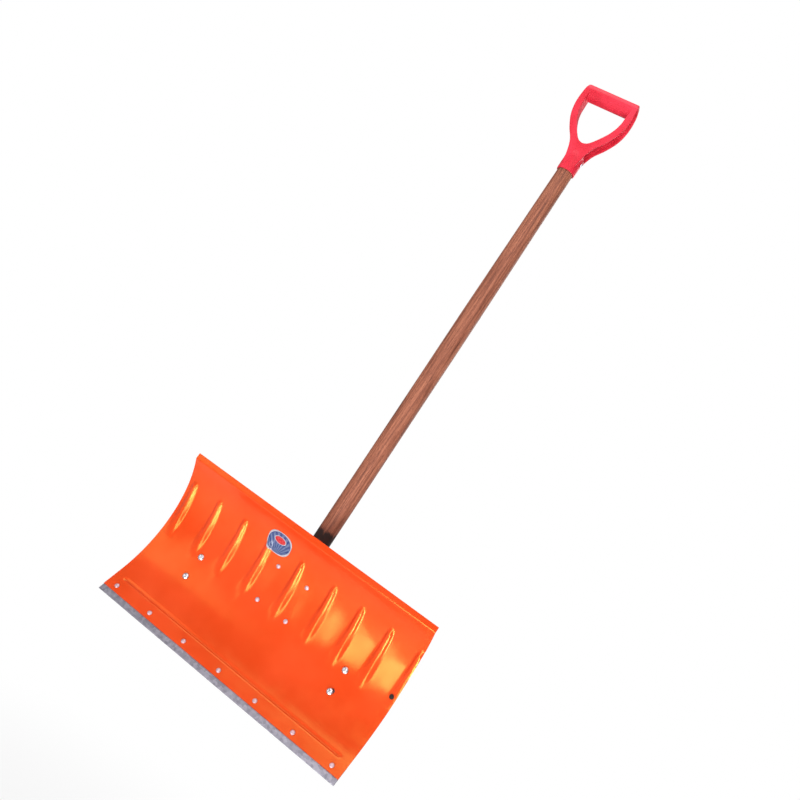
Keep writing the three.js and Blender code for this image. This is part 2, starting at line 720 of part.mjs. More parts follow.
// A long prism along X whose top is rounded over the bar and whose sides fall outside the arms.
function roundedTopPrism() {
  const shape = new THREE.Shape();
  const start = THREE.MathUtils.degToRad(14);
  shape.absarc(0, 0, ARM_HALF_DEPTH, start, Math.PI - start);
  shape.lineTo(-1.5 * ARM_HALF_DEPTH, -190);
  shape.lineTo(1.5 * ARM_HALF_DEPTH, -190);
  shape.closePath();
  return new THREE.ExtrudeGeometry(shape, { depth: 180, bevelEnabled: false, curveSegments: 6 })
    .translate(0, 0, -90)
    .rotateX(Math.PI / 2)
    .rotateZ(Math.PI / 2)
    .translate(0, 0, BAR_HEIGHT - HOOK_U);
}
addPiece("d_grip", geometryOf(makeGrip()), RED_PLASTIC);

const gripScrew = addPiece("grip_screw", makeWoodScrew(), ZINC);
gripScrew.rotation.y = Math.PI / 2;
gripScrew.position.set(COLLAR_RADIUS + GAP, 0, GRIP_SCREW_HEIGHT - HOOK_U);

// ---------- label ----------

// The grid lines from low to high, with both ends added.
const between = (values, low, high) => [low, ...ascending(values).filter((v) => v > low && v < high), high];

const labelColumns = between(sheetColumns, LABEL.left, LABEL.right);
const labelRows = between(sheetRows, LABEL.low, LABEL.high);
const labelBlock = solid(bentPlate(labelColumns, labelRows, 0, CURVED_GAP + LABEL.thick, onPressedSheet));
addPiece("label", geometryOf(labelBlock.subtract(pressedSheet(CURVED_GAP))), LABEL_PRINT);

export default shovel;
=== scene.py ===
"""Snow shovel: the looks of its pressed blade, wear strip, fasteners, rear bracket, handle and grip.

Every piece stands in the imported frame. Lengths are in millimetres inside the classes and become metres when
a mesh is made. The blade is laid out in its own terms: x across, s along the sheet from its lower edge, and n
out of its front face. A cut through it is drawn in (u, v): u up along the handle and v forward.
"""

import logging
import math
from collections.abc import Callable, Iterable
from dataclasses import dataclass
from enum import Enum
import bmesh
import bpy
from mathutils import Matrix, Vector


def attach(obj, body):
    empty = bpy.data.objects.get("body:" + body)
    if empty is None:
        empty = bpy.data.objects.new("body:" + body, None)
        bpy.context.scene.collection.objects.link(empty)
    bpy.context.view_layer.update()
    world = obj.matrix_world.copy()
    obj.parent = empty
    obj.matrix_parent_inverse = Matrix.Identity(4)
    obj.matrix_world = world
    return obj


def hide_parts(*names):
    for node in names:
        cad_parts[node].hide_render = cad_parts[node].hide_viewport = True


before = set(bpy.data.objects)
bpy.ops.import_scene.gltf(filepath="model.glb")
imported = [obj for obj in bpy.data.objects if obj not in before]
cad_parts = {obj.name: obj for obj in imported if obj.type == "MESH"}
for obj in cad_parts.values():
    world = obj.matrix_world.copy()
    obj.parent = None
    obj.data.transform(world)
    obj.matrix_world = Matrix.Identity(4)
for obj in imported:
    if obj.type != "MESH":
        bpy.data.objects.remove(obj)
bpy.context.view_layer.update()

LOG = logging.getLogger("snow_shovel")
MM = 0.001
BODY = "root"
MERGE = 1e-6  # metres
FLAT_ANGLE = math.radians(1.0)

Pair = tuple[float, float]
Triple = tuple[float, float, float]
Points = list[Pair]
Socket = bpy.types.NodeSocket


class Slot(Enum):
    """The record's material slots."""

    PAINT = "orange_paint"
    GALVANISED = "galvanised"
    ZINC = "zinc"
    BLACK = "black_paint"
    WOOD = "wood"
    PLASTIC = "red_plastic"
    # the plug's black plastic paints the shade seen through the side hole
    SHADE_PLUG = "black_plastic"
    LABEL = "label"


class Side(Enum):
    """Left and right of the handle, seen from the concave side."""

    LEFT = -1
    RIGHT = 1


# ---------- materials ----------


class Nodes:
    """A material's node tree, with short calls for the nodes that the finishes use."""

    def __init__(self, name: str) -> None:
        """Start a material with one Principled shader.

        Args:
            name: The material's name.
        """
        self.material = bpy.data.materials.new(name)
        self.material.use_nodes = True
        self.tree = self.material.node_tree
        self.shader = self.tree.nodes["Principled BSDF"]
        self.coords = self.new("TexCoord")

    def new(self, kind: str, **inputs: object) -> bpy.types.Node:
        """Add a node.

        Args:
            kind: The node's type, without its ShaderNode.
            inputs: Input names with underscores for spaces, each with a value or a socket.

        Returns:
            The node.
        """
        node = self.tree.nodes.new(f"ShaderNode{kind}")
        self.set(node, **inputs)
        return node

    def set(self, node: bpy.types.Node, **inputs: object) -> None:
        """Set or link a node's inputs, named as for a new node."""
        for name, value in inputs.items():
            self.feed(node.inputs[name.replace("_", " ")], value)

    def shade(self, **inputs: object) -> None:
        """Set or link the Principled shader's inputs."""
        self.set(self.shader, **inputs)

    def feed(self, target: Socket, value: object) -> None:
        """Link an input to a socket, or set its own value."""
        if isinstance(value, bpy.types.NodeSocket):
            self.tree.links.new(value, target)
        else:
            target.default_value = value

    def placed(self, scale: Triple = (1, 1, 1)) -> Socket:
        """Give object coordinates, times a scale along each axis."""
        node = self.new("Mapping", Vector=self.coords.outputs["Object"], Scale=scale)
        return node.outputs["Vector"]

    def noise(self, vector: Socket, scale: float, detail: float = 4.0, rough: float = 0.5) -> Socket:
        """Give a noise value around 0.5, from coordinates and the noise's scale, octaves and roughness."""
        node = self.new("TexNoise", Vector=vector, Scale=scale, Detail=detail, Roughness=rough)
        return node.outputs["Fac"]

    def cells(self, vector: Socket, scale: float) -> Socket:
        """Give a random value for each Voronoi cell."""
        return self.axes(self.new("TexVoronoi", Vector=vector, Scale=scale).outputs["Color"])[0]

    def ramp(self, value: Socket, *stops: tuple[float, Triple]) -> Socket:
        """Turn a value into a colour.

        Args:
            value: The value socket.
            stops: Pairs of position and colour, in order.

        Returns:
            The colour socket.
        """
        node = self.new("ValToRGB", Fac=value)
        elements = node.color_ramp.elements
        while len(elements) < len(stops):
            elements.new(0.5)
        for element, (position, colour) in zip(elements, stops):
            element.position = position
            element.color = (*colour, 1)
        return node.outputs["Color"]

    def math(self, operation: str, a: Socket | float, b: Socket | float = 0.0) -> Socket:
        """Combine two values.

        Args:
            operation: The Math node's operation.
            a: The first value.
            b: The second value, where the operation has one.

        Returns:
            The value socket.
        """
        node = self.new("Math")
        node.operation = operation
        for socket, value in zip(node.inputs, (a, b)):
            self.feed(socket, value)
        return node.outputs["Value"]

    def sum(self, a: Socket, a_share: float, b: Socket, b_share: float) -> Socket:
        """Add two values, each times its share."""
        return self.math("ADD", self.math("MULTIPLY", a, a_share), self.math("MULTIPLY", b, b_share))

    def length(self, a: Socket, b: Socket) -> Socket:
        """Give the length of (a, b)."""
        return self.math("SQRT", self.math("ADD", self.math("MULTIPLY", a, a), self.math("MULTIPLY", b, b)))

    def between(
        self, value: Socket, low: float, high: float, at_low: float = 0.0, at_high: float = 1.0
    ) -> Socket:
        """Map a value's range from low to high smoothly onto the range from at_low to at_high."""
        node = self.new("MapRange", Value=value, From_Min=low, From_Max=high, To_Min=at_low, To_Max=at_high)
        node.interpolation_type = "SMOOTHSTEP"
        return node.outputs["Result"]

    def mix(self, share: Socket, a: Socket | Triple, b: Socket | Triple) -> Socket:
        """Mix two colours.

        Args:
            share: How much of b.
            a: A colour.
            b: A colour.

        Returns:
            The colour socket.
        """
        node = self.new("Mix")
        node.data_type = "RGBA"
        for index, value in ((0, share), (6, a), (7, b)):
            self.feed(node.inputs[index], (*value, 1) if isinstance(value, tuple) else value)
        return node.outputs[2]

    def axes(self, vector: Socket) -> tuple[Socket, Socket, Socket]:
        """Split a vector into its three values."""
        outputs = self.new("SeparateXYZ", Vector=vector).outputs
        return outputs["X"], outputs["Y"], outputs["Z"]

    def bump(self, height: Socket, strength: float, depth: float) -> None:
        """Raise the surface by a height, with a strength and a depth in metres."""
        node = self.new("Bump", Strength=strength, Distance=depth, Height=height)
        self.shade(Normal=node.outputs["Normal"])


@dataclass(frozen=True)
class Finish:
    """A named material."""

    name: str

    def material(self) -> bpy.types.Material:
        """Build the material.

        Returns:
            The material.
        """
        nodes = Nodes(self.name)
        self.lay(nodes)
        return nodes.material

    def lay(self, nodes: Nodes) -> None:
        """Lay the look out in the material's nodes."""
        raise NotImplementedError


@dataclass(frozen=True)
class Enamel(Finish):
    """Glossy orange enamel on pressed steel."""

    name: str = "orange_enamel"
    base: Triple = (0.58, 0.046, 0.011)
    deep: Triple = (0.52, 0.035, 0.006)
    gloss_tint: tuple[float, float, float, float] = (1.0, 0.78, 0.16, 1.0)

    def lay(self, nodes: Nodes) -> None:
        """Lay patches of both shades with a smeared gloss over a slightly uneven surface."""
        plain = nodes.placed()
        patch = nodes.noise(plain, 9.0, 3.0)
        smear = nodes.noise(nodes.placed((14, 30, 4)), 3.0, 6.0, 0.6)
        peel = nodes.noise(plain, 260.0, 2.0)
        dent = nodes.noise(plain, 22.0, 1.0)
        nodes.bump(nodes.sum(peel, 0.05, dent, 0.9), 0.35, 0.0012)
        nodes.shade(
            Base_Color=nodes.ramp(patch, (0.35, self.deep), (0.65, self.base)),
            Roughness=nodes.between(smear, 0.35, 0.75, 0.15, 0.26),
            Specular_Tint=self.gloss_tint,
            IOR=1.6,
        )


@dataclass(frozen=True)
class Galvanised(Finish):
    """Dull galvanised steel."""

    name: str = "galvanised_steel"
    light: Triple = (0.29, 0.28, 0.325)
    dark: Triple = (0.165, 0.158, 0.19)

    def lay(self, nodes: Nodes) -> None:
        """Lay faint spangle under scratches along the strip."""
        spangle = nodes.cells(nodes.placed(), 190.0)
        streak = nodes.noise(nodes.placed((4, 260, 260)), 3.0, 5.0, 0.65)
        both = nodes.sum(spangle, 0.35, streak, 0.65)
        nodes.bump(streak, 0.3, 0.0003)
        nodes.shade(
            Base_Color=nodes.ramp(both, (0.3, self.dark), (0.7, self.light)),
            Roughness=nodes.between(streak, 0.3, 0.7, 0.34, 0.56),
            Metallic=0.85,
        )


@dataclass(frozen=True)
class Mottled(Finish):
    """Soft clouds from one shade to another over a fine grain.

    The cloud holds a noise's scale, detail and roughness, and the grain a noise's scale and detail. The stops
    are the cloud's values where each shade is pure, and the bump is a strength and a depth in metres.
    """

    low: Triple
    high: Triple
    cloud: Triple
    stops: Pair
    rough: Pair
    grain: Pair
    bump: Pair
    metallic: float = 0.0
    specular: float = 0.5
    ior: float = 1.5

    def lay(self, nodes: Nodes) -> None:
        """Lay the clouds and the grain."""
        plain = nodes.placed()
        cloud = nodes.noise(plain, *self.cloud)
        nodes.bump(nodes.noise(plain, *self.grain), *self.bump)
        nodes.shade(
            Base_Color=nodes.ramp(cloud, (self.stops[0], self.low), (self.stops[1], self.high)),
            Roughness=nodes.between(cloud, 0.3, 0.7, *self.rough),
            Metallic=self.metallic,
            Specular_IOR_Level=self.specular,
            IOR=self.ior,
        )


@dataclass(frozen=True)
class BrightZinc(Mottled):
    """Bright zinc plating on bolts, nuts, washers and screws."""

    name: str = "bright_zinc"
    low: Triple = (0.34, 0.32, 0.37)
    high: Triple = (0.66, 0.64, 0.68)
    cloud: Triple = (420.0, 5.0, 0.6)
    stops: Pair = (0.32, 0.62)
    rough: Pair = (0.2, 0.36)
    grain: Pair = (900.0, 3.0)
    bump: Pair = (0.25, 0.0002)
    metallic: float = 1.0


@dataclass(frozen=True)
class ReflectionTintedZinc(BrightZinc):
    """Dull zinc on the rivets, with a pink tint that paints in the reflection of the orange paint around
    them.
    """

    name: str = "rivet_zinc_painted_reflection"
    # pink low and high shades: painted reflection of the orange paint
    low: Triple = (0.38, 0.25, 0.29)
    high: Triple = (0.62, 0.45, 0.49)
    rough: Pair = (0.5, 0.66)


@dataclass(frozen=True)
class BlackSteel(Mottled):
    """Satin black paint on the rear bracket."""

    name: str = "black_steel"
    low: Triple = (0.018, 0.018, 0.02)
    high: Triple = (0.05, 0.05, 0.054)
    cloud: Triple = (60.0, 6.0, 0.62)
    stops: Pair = (0.4, 0.75)
    rough: Pair = (0.38, 0.6)
    grain: Pair = (700.0, 3.0)
    bump: Pair = (0.3, 0.0003)
    metallic: float = 0.1


@dataclass(frozen=True)
class MouldedPlastic(Mottled):
    """Satin coral-red moulded plastic with a fine eggshell grain."""

    name: str = "moulded_plastic"
    low: Triple = (0.49, 0.012, 0.028)
    high: Triple = (0.60, 0.022, 0.046)
    cloud: Triple = (26.0, 4.0, 0.5)
    stops: Pair = (0.35, 0.62)
    rough: Pair = (0.48, 0.6)
    grain: Pair = (320.0, 2.0)
    bump: Pair = (0.12, 0.0002)
    specular: float = 0.22
    ior: float = 1.45


@dataclass(frozen=True)
class ShadePlugPlastic(Mottled):
    """Black plastic with a faint grain, whose near black paints the shade seen through the side hole."""

    name: str = "plug_plastic_painted_shade"
    low: Triple = (0.010, 0.006, 0.005)
    high: Triple = (0.026, 0.017, 0.015)
    cloud: Triple = (800.0, 4.0, 0.5)
    stops: Pair = (0.4, 0.7)
    rough: Pair = (0.5, 0.7)
    grain: Pair = (800.0, 4.0)
    bump: Pair = (0.2, 0.0002)
    specular: float = 0.15


@dataclass(frozen=True)
class StainedWood(Finish):
    """Reddish brown hardwood, near black from a little above the blade down to its foot."""

    name: str = "stained_wood"
    pale: Triple = (0.35, 0.128, 0.072)
    mid: Triple = (0.205, 0.063, 0.034)
    dark: Triple = (0.070, 0.020, 0.011)
    foot_black: Triple = (0.012, 0.008, 0.008)
    foot_black_top: float = -1.057
    foot_black_fade: float = 0.014
    ragged: float = 0.04

    def lay(self, nodes: Nodes) -> None:
        """Lay long grain, short dark pores, pale speckle, and the ragged edge of the near black below a set
        height.
        """
        grain = nodes.noise(nodes.placed((95, 95, 3.2)), 3.0, 8.0, 0.62)
        pores = nodes.noise(nodes.placed((300, 300, 38)), 3.0, 4.0, 0.7)
        speckle = nodes.noise(nodes.placed((150, 150, 70)), 2.6, 5.0, 0.7)
        body = nodes.ramp(grain, (0.3, self.dark), (0.46, self.mid), (0.66, self.pale))
        flecks = nodes.math("MULTIPLY", nodes.between(pores, 0.52, 0.68), 0.62)
        stained = nodes.mix(flecks, body, self.dark)
        varied = nodes.mix(nodes.between(speckle, 0.55, 0.75, 0.0, 0.42), stained, self.pale)
        # near black below a ragged line a little above the blade, down to the foot
        height = nodes.axes(nodes.placed())[2]
        jagged = nodes.noise(nodes.placed((60, 60, 22)), 2.0, 5.0, 0.65)
        edge = nodes.sum(height, 1.0, jagged, self.ragged)
        middle = self.foot_black_top + self.ragged / 2
        foot_share = nodes.between(edge, middle, middle + self.foot_black_fade, 0.94, 0.0)
        nodes.bump(nodes.sum(pores, 0.6, grain, 0.4), 0.45, 0.0006)
        nodes.shade(
            Base_Color=nodes.mix(foot_share, varied, self.foot_black),
            Roughness=nodes.between(grain, 0.3, 0.7, 0.55, 0.75),
            Specular_IOR_Level=0.28,
        )


@dataclass(frozen=True)
class PrintedFilm(Finish):
    """Glossy film with plain colour fields: a pale rim, a blue ground, rays and a red oval."""

    name: str = "printed_film"
    rim: Triple = (0.30, 0.29, 0.33)
    blue: Triple = (0.018, 0.034, 0.13)
    pale: Triple = (0.085, 0.12, 0.22)
    red: Triple = (0.40, 0.012, 0.016)

    def lay(self, nodes: Nodes) -> None:
        """Lay the rays, then the oval with its ring, then both rims."""
        x, y, _ = nodes.axes(nodes.coords.outputs["UV"])
        across = nodes.math("SUBTRACT", x, 0.5)
        up = nodes.math("SUBTRACT", y, 0.5)
        far = nodes.length(across, up)
        angle = nodes.math("ARCTAN2", across, nodes.math("ADD", up, 0.62))
        rays = nodes.math("SINE", nodes.math("MULTIPLY", angle, 34.0))
        ground = nodes.mix(nodes.between(rays, -0.1, 0.25), self.blue, self.pale)
        lifted = nodes.math("SUBTRACT", up, 0.13)
        oval = nodes.length(across, nodes.math("MULTIPLY", lifted, 1.5))
        ringed = nodes.mix(nodes.between(oval, 0.25, 0.265, 1.0, 0.0), ground, self.rim)
        dotted = nodes.mix(nodes.between(oval, 0.215, 0.228, 1.0, 0.0), ringed, self.red)
        edged = nodes.mix(nodes.between(far, 0.435, 0.445), dotted, self.blue)
        nodes.shade(
            Base_Color=nodes.mix(nodes.between(far, 0.465, 0.472), edged, self.rim),
            Roughness=nodes.between(nodes.noise(nodes.placed(), 90.0), 0.3, 0.7, 0.22, 0.36),
        )


class Finishes:
    """One material for each finish, made once."""

    def __init__(self) -> None:
        """Build every finish."""
        self.by_slot = {
            Slot.PAINT: Enamel().material(),
            Slot.GALVANISED: Galvanised().material(),
            Slot.ZINC: BrightZinc().material(),
            Slot.BLACK: BlackSteel().material(),
            Slot.WOOD: StainedWood().material(),
            Slot.PLASTIC: MouldedPlastic().material(),
            Slot.SHADE_PLUG: ShadePlugPlastic().material(),
            Slot.LABEL: PrintedFilm().material(),
        }
        self.rivet = ReflectionTintedZinc().material()

    def dress(self, piece: bpy.types.Object, slot: Slot, other: bpy.types.Material | None = None) -> None:
        """Give a piece its finish.

        Args:
            piece: The object.
            slot: The record's slot that it takes its finish from.
            other: Another material for the same slot.
        """
        piece.data.materials.clear()
        piece.data.materials.append(other or self.by_slot[slot])


# ---------- making pieces ----------


def written(name: str, mesh: bmesh.types.BMesh) -> bpy.types.Mesh:
    """Write a bmesh to a new mesh and free it."""
    data = bpy.data.meshes.new(name)
    mesh.to_mesh(data)
    mesh.free()
    return data


def linked(name: str, data: bpy.types.ID) -> bpy.types.Object:
    """Make an object and link it to the scene."""
    made = bpy.data.objects.new(name, data)
    bpy.context.scene.collection.objects.link(made)
    return made


@dataclass
class Workshop:
    """Turns bmesh work into finished pieces that stand for CAD nodes."""

    finishes: Finishes

    def piece(
        self,
        name: str,
        mesh: bmesh.types.BMesh,
        slot: Slot,
        node: str,
        other: bpy.types.Material | None = None,
        smooth_angle: float = 40.0,
    ) -> bpy.types.Object:
        """Make an object that replaces a CAD node.

        Args:
            name: The piece's name.
            mesh: Its bmesh, in metres; it is freed.
            slot: The slot that it takes its finish from.
            node: The CAD node that it stands for.
            other: Another material for the same slot.
            smooth_angle: Edges sharper than this many degrees stay sharp.

        Returns:
            The object.
        """
        for face in mesh.faces:
            face.smooth = True
        for edge in mesh.edges:
            edge.smooth = not (edge.is_manifold and edge.calc_face_angle(0) > math.radians(smooth_angle))
        made = linked(name, written(name, mesh))
        self.finishes.dress(made, slot, other)
        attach(made, BODY)
        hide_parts(node)
        LOG.info("%s stands for %s with %d faces", name, node, len(made.data.polygons))
        return made

    def plated(self, node: str, width: float = 0.4) -> None:
        """Copy a CAD node, plate it with zinc and round its edges by a width in millimetres."""
        piece = self.piece(f"plated_{node}", self.copied(node), Slot.ZINC, node, smooth_angle=35.0)
        self.edged(piece, width)

    @staticmethod
    def spun(outline: Points, steps: int = 32) -> bmesh.types.BMesh:
        """Spin an outline of (radius, height) pairs about Z.

        Args:
            outline: Points in millimetres, from the low end up.
            steps: Steps in the full turn.

        Returns:
            The closed shape, in metres.
        """
        mesh = bmesh.new()
        points = [mesh.verts.new((r * MM, 0, h * MM)) for r, h in outline]
        edges = [mesh.edges.new(pair) for pair in zip(points, points[1:])]
        turn = {"cent": (0, 0, 0), "axis": (0, 0, 1), "angle": 2 * math.pi, "steps": steps}
        bmesh.ops.spin(mesh, geom=[*points, *edges], use_merge=True, **turn)
        bmesh.ops.remove_doubles(mesh, verts=mesh.verts[:], dist=MERGE)
        bmesh.ops.recalc_face_normals(mesh, faces=mesh.faces[:])
        return mesh

    @staticmethod
    def rod(radius: float, low: float, high: float, steps: int = 32) -> bmesh.types.BMesh:
        """Give a closed rod about Z."""
        return Workshop.spun([(0, low), (radius, low), (radius, high), (0, high)], steps)

    @staticmethod
    def extruded(outline: Iterable[Triple], push: Triple) -> bmesh.types.BMesh:
        """Give a flat outline pushed along a vector, closed at both ends.

        Args:
            outline: The outline's points in millimetres.
            push: The vector in millimetres.

        Returns:
            The closed shape, in metres.
        """
        mesh = bmesh.new()
        base = mesh.faces.new([mesh.verts.new(Vector(point) * MM) for point in outline])
        grown = bmesh.ops.extrude_face_region(mesh, geom=[base])["geom"]
        moved = [item for item in grown if isinstance(item, bmesh.types.BMVert)]
        bmesh.ops.translate(mesh, verts=moved, vec=Vector(push) * MM)
        bmesh.ops.recalc_face_normals(mesh, faces=mesh.faces[:])
        return mesh

    @staticmethod
    def moved(mesh: bmesh.types.BMesh, matrix: Matrix) -> bmesh.types.BMesh:
        """Move a shape into place and give it back."""
        bmesh.ops.transform(mesh, matrix=matrix, verts=mesh.verts[:])
        return mesh

    @staticmethod
    def copied(node: str) -> bmesh.types.BMesh:
        """Copy a CAD node's mesh with its vertices merged and its flat faces joined.

        Args:
            node: The node's name.

        Returns:
            The copy.
        """
        mesh = bmesh.new()
        mesh.from_mesh(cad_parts[node].data)
        bmesh.ops.remove_doubles(mesh, verts=mesh.verts[:], dist=MERGE)
        bmesh.ops.dissolve_limit(mesh, angle_limit=FLAT_ANGLE, verts=mesh.verts[:], edges=mesh.edges[:])
        return mesh

    @staticmethod
    def edged(piece: bpy.types.Object, width: float, angle: float = 35.0) -> None:
        """Round a piece's sharp edges.

        Args:
            piece: The object.
            width: The bevel's width in millimetres.
            angle: Edges sharper than this many degrees are rounded.
        """
        bevel = piece.modifiers.new("rounded_edges", "BEVEL")
        bevel.width = width * MM
        bevel.segments = 2
        bevel.limit_method = "ANGLE"
        bevel.angle_limit = math.radians(angle)

    @staticmethod
    def cut(piece: bpy.types.Object, cutters: list[bmesh.types.BMesh], operation: str = "DIFFERENCE") -> None:
        """Cut a piece with closed shapes and keep the result as its mesh.

        Args:
            piece: The object.
            cutters: Closed shapes in metres; they are freed.
            operation: DIFFERENCE takes the shapes out, and INTERSECT keeps what lies inside them.
        """
        for cutter in cutters:
            tool = linked("cutter", written("cutter", cutter))
            boolean = piece.modifiers.new("cut", "BOOLEAN")
            boolean.operation = operation
            boolean.solver = "EXACT"
            boolean.object = tool
            Workshop.settle(piece)
            bpy.data.meshes.remove(tool.data)

    @staticmethod
    def remeshed(piece: bpy.types.Object, voxel: float) -> None:
        """Have a piece's surface rebuilt evenly in voxels of so many millimetres."""
        rebuilt = piece.modifiers.new("even", "REMESH")
        rebuilt.mode = "VOXEL"
        rebuilt.voxel_size = voxel * MM
        rebuilt.use_smooth_shade = True

    @staticmethod
    def settle(piece: bpy.types.Object) -> None:
        """Apply every modifier of a piece to its mesh."""
        bpy.context.view_layer.update()
        seen = piece.evaluated_get(bpy.context.evaluated_depsgraph_get())
        settled = bpy.data.meshes.new_from_object(seen)
        old = piece.data
        piece.modifiers.clear()
        piece.data = settled
        settled.name = piece.name
        bpy.data.meshes.remove(old)


def smooth_step(t: float) -> float:
    """Ease from 0 to 1 as t goes from 0 to 1."""
    held = min(1.0, max(0.0, t))
    return held * held * (3 - 2 * held)


def spread(low: float, high: float, count: int) -> list[float]:
    """Give evenly spaced values from low to high, in count steps."""
    return [low + (high - low) * i / count for i in range(count + 1)]


def dome(radius: float, low: float, rise: float, steps: int, fullness: float) -> Points:
    """Give a dome's outline between its rim and its top, which are left out.

    Args:
        radius: The rim's radius.
        low: The rim's height.
        rise: The top's height over the rim.
        steps: Steps from the rim to the top.
        fullness: 1 for an ellipse, and less for fuller shoulders.

    Returns:
        Pairs of radius and height.
    """
    turns = spread(0, math.pi / 2, steps)[1:-1]
    return [(radius * math.cos(a) ** fullness, low + rise * math.sin(a)) for a in turns]


@dataclass(frozen=True)
class Profile:
    """The blade's side view: a flat toe, one long arc and a lip bent back at the top."""

    toe_flat: float = 45.0
    arc_radius: float = 205.0
    arc_sweep: float = math.radians(81.0)
    lip_bend: float = math.radians(47.5)
    lip_bend_radius: float = 5.0
    lip_width: float = 10.0
    sheet: float = 1.5
    handle_radius: float = 19.75
    curved_gap: float = 0.5
    hook_u: float = 1378.9

    @property
    def arc_end(self) -> float:
        """The s at which the arc ends."""
        return self.toe_flat + self.arc_radius * self.arc_sweep

    @property
    def lip_start(self) -> float:
        """The s at which the straight lip starts."""
        return self.arc_end + self.lip_bend_radius * self.lip_bend

    @property
    def sheet_end(self) -> float:
        """The s of the sheet's upper edge."""
        return self.lip_start + self.lip_width

    @property
    def handle_v(self) -> float:
        """The v of the handle's axis."""
        deepest = self.at(self.toe_flat + self.arc_radius * self.arc_sweep / 2)[1]
        return deepest - self.sheet - self.curved_gap - self.handle_radius

    def at(self, s: float) -> Triple:
        """Give the sheet's front face at s.

        Args:
            s: The way along the sheet, in millimetres.

        Returns:
            u, v and the slope's angle.
        """
        start = -self.arc_sweep / 2
        straight = min(s, self.toe_flat)
        spot = straight * math.cos(start), straight * math.sin(start), start
        if s > self.toe_flat:
            spot = self.turned(*spot, self.arc_radius, min(s, self.arc_end) - self.toe_flat)
        if s > self.arc_end:
            spot = self.turned(*spot, -self.lip_bend_radius, min(s, self.lip_start) - self.arc_end)
        u, v, angle = spot
        run = max(0.0, s - self.lip_start)
        return u + run * math.cos(angle), v + run * math.sin(angle), angle

    @staticmethod
    def turned(u: float, v: float, angle: float, radius: float, run: float) -> Triple:
        """Follow a round run of the profile, whose radius is negative where it bends back."""
        end = angle + run / radius
        along = (math.sin(end) - math.sin(angle)) * radius
        across = (math.cos(end) - math.cos(angle)) * radius
        return u + along, v - across, end

    def place(self, x: float, u: float, v: float) -> Vector:
        """Give a point of a cut through the shovel in the part's frame, in metres."""
        return Vector((x, self.handle_v - v, u - self.hook_u)) * MM

    def on_sheet(self, x: float, s: float, n: float) -> Vector:
        """Give the point at height n over the plain front face, in metres."""
        u, v, angle = self.at(s)
        return self.place(x, u - n * math.sin(angle), v + n * math.cos(angle))

    def standing(self, x: float, s: float) -> Matrix:
        """Give the frame whose +Z leaves the front face at x, s."""
        angle = self.at(s)[2]
        across = Vector((1, 0, 0))
        along = Vector((0, -math.sin(angle), math.cos(angle)))
        out = across.cross(along)
        turn = Matrix((across, along, out)).transposed().to_4x4()
        return Matrix.Translation(self.on_sheet(x, s, 0)) @ turn


@dataclass(frozen=True)
class Pressing:
    """The ribs and the groove pressed into the sheet, and the soft swell beside each rib."""

    width: float = 600.0
    centre: float = 6.0
    offsets: tuple[float, ...] = (-289.0, -219.5, -150.5, -82.0, 0.0, 82.0, 150.5, 219.5, 289.0)
    rib_height: float = 5.6
    rib_top: float = 288.0
    crest: float = 268.0
    fade: float = 150.0
    half_top: float = 6.0
    half_low: float = 13.0
    flank: float = 1.25
    swell: float = 1.9
    swell_low: float = 125.0
    swell_low_ease: float = 60.0
    swell_high: float = 276.0
    swell_high_ease: float = 40.0
    swell_before: float = 8.0
    swell_ease: float = 14.0
    swell_reach: float = 52.0
    groove_line: float = 34.0
    groove_depth: float = 2.1
    groove_half_width: float = 5.0
    groove_half_length: float = 281.0
    groove_end: float = 8.0

    def rib(self, x: float, s: float) -> float:
        """Give the ribs' height over the plain sheet."""
        rise = min(1.0, max(0.0, (s - self.fade) / (self.crest - self.fade)))
        fall = rise * (2 - rise)
        nose = smooth_step((self.rib_top - s) / (self.rib_top - self.crest))
        low = min(1.0, max(0.0, (self.rib_top - s) / (self.rib_top - self.fade)))
        half = self.half_top + (self.half_low - self.half_top) * low
        nearest = min(abs(x - self.centre - at) for at in self.offsets)
        return self.rib_height * fall * nose * smooth_step(self.flank - nearest / half)

    def soft_swell(self, x: float, s: float) -> float:
        """Give the low swell that runs off to the right of each rib."""
        inside = smooth_step((s - self.swell_low) / self.swell_low_ease)
        inside *= smooth_step((self.swell_high - s) / self.swell_high_ease)
        behind = [x - self.centre - at for at in self.offsets if x - self.centre - at > -self.swell_before]
        if not behind or inside == 0:
            return 0.0
        run = min(behind)
        start = smooth_step((run + self.swell_before) / self.swell_ease)
        return self.swell * inside * start * smooth_step(1 - run / self.swell_reach)

    def groove(self, x: float, s: float) -> float:
        """Give the groove's depth under the plain sheet."""
        across = smooth_step(1 - abs(s - self.groove_line) / self.groove_half_width)
        return self.groove_depth * across * smooth_step((self.groove_half_length - abs(x)) / self.groove_end)

    def height(self, x: float, s: float) -> float:
        """Give the pressed front face's height over the plain one."""
        return self.rib(x, s) + self.soft_swell(x, s) - self.groove(x, s)


PROFILE = Profile()
PRESSING = Pressing()
SIDE_HOLE = (290.0, 175.0)


def bent_sheet(
    columns: list[float], rows: list[float], height: Callable[[float, float], float], thickness: float
) -> bmesh.types.BMesh:
    """Lay a closed sheet along the blade.

    Args:
        columns: The x of each grid line, in millimetres.
        rows: The s of each grid line.
        height: Gives the sheet's height over the plain front face at x, s.
        thickness: The sheet's thickness behind that height.

    Returns:
        The sheet, in metres.
    """
    mesh = bmesh.new()
    bmesh.ops.create_grid(mesh, x_segments=len(columns) - 1, y_segments=len(rows) - 1, size=0.5)
    for vert in mesh.verts:
        x = columns[round((vert.co.x + 0.5) * (len(columns) - 1))]
        s = rows[round((vert.co.y + 0.5) * (len(rows) - 1))]
        vert.co = PROFILE.on_sheet(x, s, height(x, s))
    mesh.normal_update()
    bmesh.ops.solidify(mesh, geom=mesh.faces[:], thickness=thickness * MM)
    bmesh.ops.recalc_face_normals(mesh, faces=mesh.faces[:])
    return mesh


# ---------- the blade ----------


